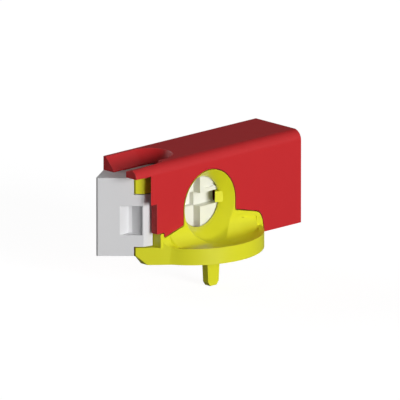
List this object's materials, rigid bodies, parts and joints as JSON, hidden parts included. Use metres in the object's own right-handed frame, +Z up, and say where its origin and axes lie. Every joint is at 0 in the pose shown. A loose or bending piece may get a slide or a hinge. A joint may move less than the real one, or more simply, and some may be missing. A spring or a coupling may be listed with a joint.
{
  "type": "lockout hasp",
  "caption": "One-module lockout hasp: a sprung slide pulls out of a red housing so that a padlock shackle can pass through its yellow eye and hold it out.",
  "frame": {"origin": "on the housing's flat bottom face, under the middle of the padlock eye and halfway between the front and back faces", "axes": "+X along the housing, away from the pointed nose; +Y from the front face, which has the padlock eye, to the rear cover; +Z up"},
  "size_m": [0.066, 0.0293, 0.0375],
  "materials": {
    "red_plastic": "satin moulded red plastic with a very fine grain",
    "yellow_plastic": "half-gloss moulded yellow plastic",
    "grey_plastic": "satin moulded light grey plastic",
    "white_plastic": "satin moulded off-white plastic",
    "plate_steel": "brushed stainless steel plate",
    "fastener_steel": "zinc-plated steel",
    "spring_steel": "drawn spring wire",
    "rubber": "black rubber"
  },
  "bodies": {
    "housing": {"housing_shell": "red_plastic", "rear_cover": "red_plastic", "padlock_guard": "yellow_plastic", "cover_screw_1": "fastener_steel", "cover_screw_2": "fastener_steel", "cover_screw_3": "fastener_steel", "cover_screw_4": "fastener_steel", "guard_screw_left": "fastener_steel", "guard_screw_right": "fastener_steel", "spring_anchor_housing": "fastener_steel", "return_buffer": "rubber", "return_spring": "spring_steel"},
    "slide": {"nose_block": "grey_plastic", "slide_carrier": "white_plastic", "nose_pin_lower": "fastener_steel", "nose_pin_upper": "fastener_steel", "shackle_plate": "plate_steel", "plate_rivet_1": "fastener_steel", "plate_rivet_2": "fastener_steel", "plate_rivet_3": "fastener_steel", "plate_rivet_4": "fastener_steel", "spring_anchor_slide": "fastener_steel"}
  },
  "joints": [
    {"name": "slide_pull", "type": "slide", "parent": "housing", "child": "slide", "axis": [-1, 0, 0], "range_m": [0, 0.015], "stiffness_N_per_m": 60, "springref_m": -0.004, "deforming": ["return_spring"]}
  ]
}
